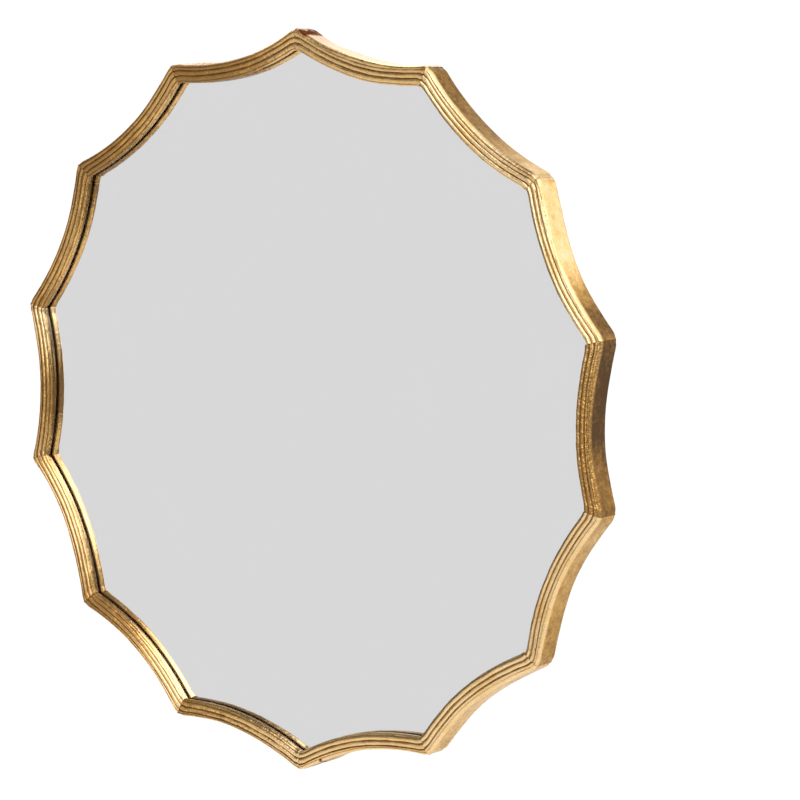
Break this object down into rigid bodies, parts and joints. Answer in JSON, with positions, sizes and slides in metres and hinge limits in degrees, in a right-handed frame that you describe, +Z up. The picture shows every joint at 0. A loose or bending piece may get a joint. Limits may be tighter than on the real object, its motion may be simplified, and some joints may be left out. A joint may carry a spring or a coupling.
{
  "type": "sunburst wall mirror",
  "caption": "Round wall mirror in a narrow reeded gilt frame whose mitred concave scallops meet in sunburst points, backed by a panel with swinging hanging rings.",
  "frame": {"origin": "centre of the wall plane: the plane of the rear faces of the wall bumpers, on the axis of the star", "axes": "+Z up with one tip straight up, +X to the right as seen from the front, the glass faces -Y and the wall is at +Y"},
  "size_m": [0.8914, 0.0365, 0.9144],
  "materials": {
    "gilded_wood": "antique gold leaf over red-brown bole, rubbed and spattered",
    "clear_glass": "polished float glass",
    "silver": "silver with grey protective paint behind",
    "fibreboard": "dark sealed fibreboard",
    "card": "plain grey-brown card",
    "cork": "pressed cork",
    "nail_steel": "bright steel strip",
    "zinc_steel": "zinc plated",
    "ring_steel": "nickel plated wire",
    "rubber": "matte black rubber"
  },
  "bodies": {
    "mirror": {"frame_segment_01": "gilded_wood", "frame_segment_02": "gilded_wood", "frame_segment_03": "gilded_wood", "frame_segment_04": "gilded_wood", "frame_segment_05": "gilded_wood", "frame_segment_06": "gilded_wood", "frame_segment_07": "gilded_wood", "frame_segment_08": "gilded_wood", "frame_segment_09": "gilded_wood", "frame_segment_10": "gilded_wood", "frame_segment_11": "gilded_wood", "frame_segment_12": "gilded_wood", "frame_segment_13": "gilded_wood", "frame_segment_14": "gilded_wood", "mitre_v_nails": "nail_steel", "mirror_glass": "clear_glass", "silver_coating": "silver", "glass_setting_blocks": "cork", "packing_card": "card", "back_panel": "fibreboard", "back_panel_screws": "zinc_steel", "wall_bumpers": "rubber", "hanger_strap_left": "zinc_steel", "hanger_screws_left": "zinc_steel", "hanger_strap_right": "zinc_steel", "hanger_screws_right": "zinc_steel"},
    "ring_left": {"hanger_ring_left": "ring_steel"},
    "ring_right": {"hanger_ring_right": "ring_steel"}
  },
  "joints": [
    {"name": "ring_left_swing", "type": "hinge", "parent": "mirror", "child": "ring_left", "pos_m": [-0.23, -0.0057, 0.158], "axis": [1, 0, 0], "range_deg": [0, 180]},
    {"name": "ring_right_swing", "type": "hinge", "parent": "mirror", "child": "ring_right", "pos_m": [0.23, -0.0057, 0.158], "axis": [1, 0, 0], "range_deg": [0, 180]}
  ]
}
